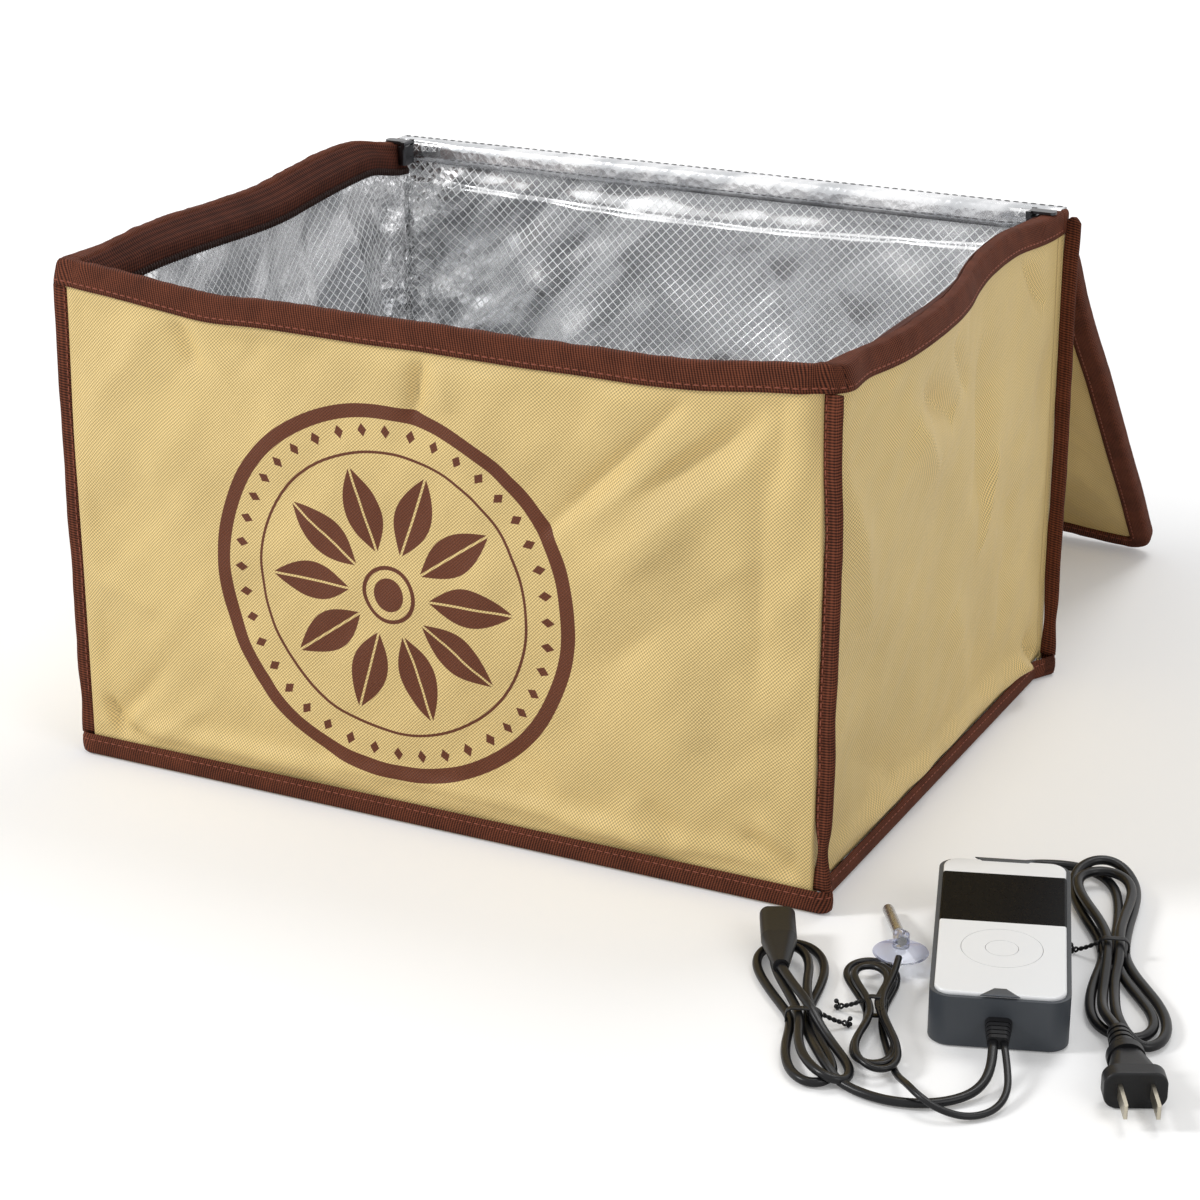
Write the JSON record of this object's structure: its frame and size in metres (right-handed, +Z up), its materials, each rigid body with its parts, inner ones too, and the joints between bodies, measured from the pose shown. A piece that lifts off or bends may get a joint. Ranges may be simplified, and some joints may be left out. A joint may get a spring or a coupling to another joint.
{
  "type": "folding dough proofer",
  "caption": "Folding insulated cloth dough proofer with a zipped fold-back lid, foil lining, heating pad, and a corded hand controller with screen and keys.",
  "frame": {"origin": "on the floor under the centre of the bag's base", "axes": "+Z up; the printed front wall faces -Y; +X to the right of someone facing the front"},
  "size_m": [0.5824, 0.6657, 0.2516],
  "materials": {
    "oxford_cloth": "matt PU-backed Oxford cloth, golden cream",
    "foil_liner": "crumpled aluminised film with a white diamond scrim, on foam",
    "brown_tape": "ribbed polyester binding tape, chestnut brown",
    "zip_tape": "woven zip tape with a nylon coil, dark brown",
    "zip_metal": "black enamelled zinc",
    "pad_cloth": "dark grey heating pad cover",
    "black_plastic": "moulded black PVC, satin",
    "case_grey": "dark slate ABS, fine texture",
    "case_white": "white ABS, satin gloss",
    "screen_black": "black acrylic, polished",
    "module": "display module",
    "board_green": "solder mask",
    "steel": "stainless steel, drawn",
    "brass_pin": "nickel-plated brass",
    "cord_black": "black PVC sheath, soft gloss",
    "tie_black": "black plastic-coated wire",
    "clear_cup": "clear soft PVC with a bluish rim"
  },
  "bodies": {
    "rear": {"rear_shell": "oxford_cloth", "base_shell": "oxford_cloth", "rear_liner": "foil_liner", "base_liner": "foil_liner", "lid_hinge_strip": "foil_liner", "rear_corner_bindings": "brown_tape", "base_binding": "brown_tape", "heating_pad": "pad_cloth", "heater_inlet": "black_plastic", "mains_strain_relief": "black_plastic", "output_strain_relief": "black_plastic", "heater_connector": "black_plastic", "mains_plug": "black_plastic", "controller_back": "case_grey", "controller_cover": "case_white", "display_window": "screen_black", "display_module": "module", "control_board": "board_green", "case_screws": "steel", "sensor_probe": "steel", "inlet_pins": "brass_pin", "plug_blades": "brass_pin", "mains_cord": "cord_black", "mains_hank": "cord_black", "heater_lead": "cord_black", "heater_hank": "cord_black", "sensor_lead": "cord_black", "sensor_hank": "cord_black", "cord_ties": "tie_black", "suction_cup": "clear_cup"},
    "left_rear_half": {"left_rear_shell": "oxford_cloth", "left_rear_liner": "foil_liner", "left_rear_rim": "brown_tape"},
    "left_front_half": {"left_front_shell": "oxford_cloth", "left_front_liner": "foil_liner", "left_front_rim": "brown_tape"},
    "right_rear_half": {"right_rear_shell": "oxford_cloth", "right_rear_liner": "foil_liner", "right_rear_rim": "brown_tape"},
    "right_front_half": {"right_front_shell": "oxford_cloth", "right_front_liner": "foil_liner", "right_front_rim": "brown_tape"},
    "front": {"front_shell": "oxford_cloth", "front_liner": "foil_liner", "front_rim": "brown_tape", "front_zip_tape": "zip_tape", "front_corner_bindings": "brown_tape"},
    "lid": {"lid_shell": "oxford_cloth", "lid_liner": "foil_liner", "lid_binding": "brown_tape", "lid_zip_tape": "zip_tape"},
    "left_slider": {"left_zip_slider": "zip_metal"},
    "right_slider": {"right_zip_slider": "zip_metal"},
    "left_pull": {"left_zip_pull": "zip_metal"},
    "right_pull": {"right_zip_pull": "zip_metal"},
    "dial": {"dial_ring": "case_white"},
    "button": {"power_button": "case_white"}
  },
  "joints": [
    {"name": "fold", "type": "hinge", "parent": "rear", "child": "left_rear_half", "pos_m": [-0.1806, 0.1456, 0.13], "axis": [0, 0, 1], "range_deg": [0, 86], "deforming": ["base_shell", "base_liner", "base_binding", "heating_pad"]},
    {"name": "left_middle_crease", "type": "hinge", "parent": "left_rear_half", "child": "left_front_half", "pos_m": [-0.1935, 0, 0.13], "axis": [0, 0, 1], "range_deg": [-172, 0]},
    {"name": "left_front_corner", "type": "hinge", "parent": "left_front_half", "child": "front", "pos_m": [-0.1806, -0.1456, 0.13], "axis": [0, 0, 1], "range_deg": [0, 86]},
    {"name": "right_rear_corner", "type": "hinge", "parent": "rear", "child": "right_rear_half", "pos_m": [0.1806, 0.1456, 0.13], "axis": [0, 0, 1], "range_deg": [-86, 0]},
    {"name": "right_middle_crease", "type": "hinge", "parent": "right_rear_half", "child": "right_front_half", "pos_m": [0.1935, 0, 0.13], "axis": [0, 0, 1], "range_deg": [0, 172]},
    {"name": "lid_hinge", "type": "hinge", "parent": "rear", "child": "lid", "pos_m": [0, 0.16, 0.25], "axis": [1, 0, 0], "range_deg": [0, 229.27], "deforming": ["lid_hinge_strip"]},
    {"name": "left_zip_travel", "type": "slide", "parent": "left_rear_half", "child": "left_slider", "axis": [0, -1, 0], "range_m": [0, 0.1337]},
    {"name": "right_zip_travel", "type": "slide", "parent": "right_rear_half", "child": "right_slider", "axis": [0, -1, 0], "range_m": [0, 0.1337]},
    {"name": "left_pull_swing", "type": "hinge", "parent": "left_slider", "child": "left_pull", "pos_m": [-0.1791, 0.14, 0.2504], "axis": [0, -1, 0], "range_deg": [-150, 0]},
    {"name": "right_pull_swing", "type": "hinge", "parent": "right_slider", "child": "right_pull", "pos_m": [0.1791, 0.14, 0.2504], "axis": [0, 1, 0], "range_deg": [-150, 0]},
    {"name": "dial_press", "type": "slide", "parent": "rear", "child": "dial", "axis": [0, 0, -1], "range_m": [0, 0.0005], "stiffness_N_per_m": 1500, "springref_m": -0.0002},
    {"name": "button_press", "type": "slide", "parent": "rear", "child": "button", "axis": [0, 0, -1], "range_m": [0, 0.0006], "stiffness_N_per_m": 1000, "springref_m": -0.0002}
  ],
  "couplings": [
    {"joint": "left_middle_crease", "follows": "fold", "ratio": -2},
    {"joint": "left_front_corner", "follows": "fold", "ratio": 1},
    {"joint": "right_rear_corner", "follows": "fold", "ratio": -1},
    {"joint": "right_middle_crease", "follows": "fold", "ratio": 2}
  ]
}
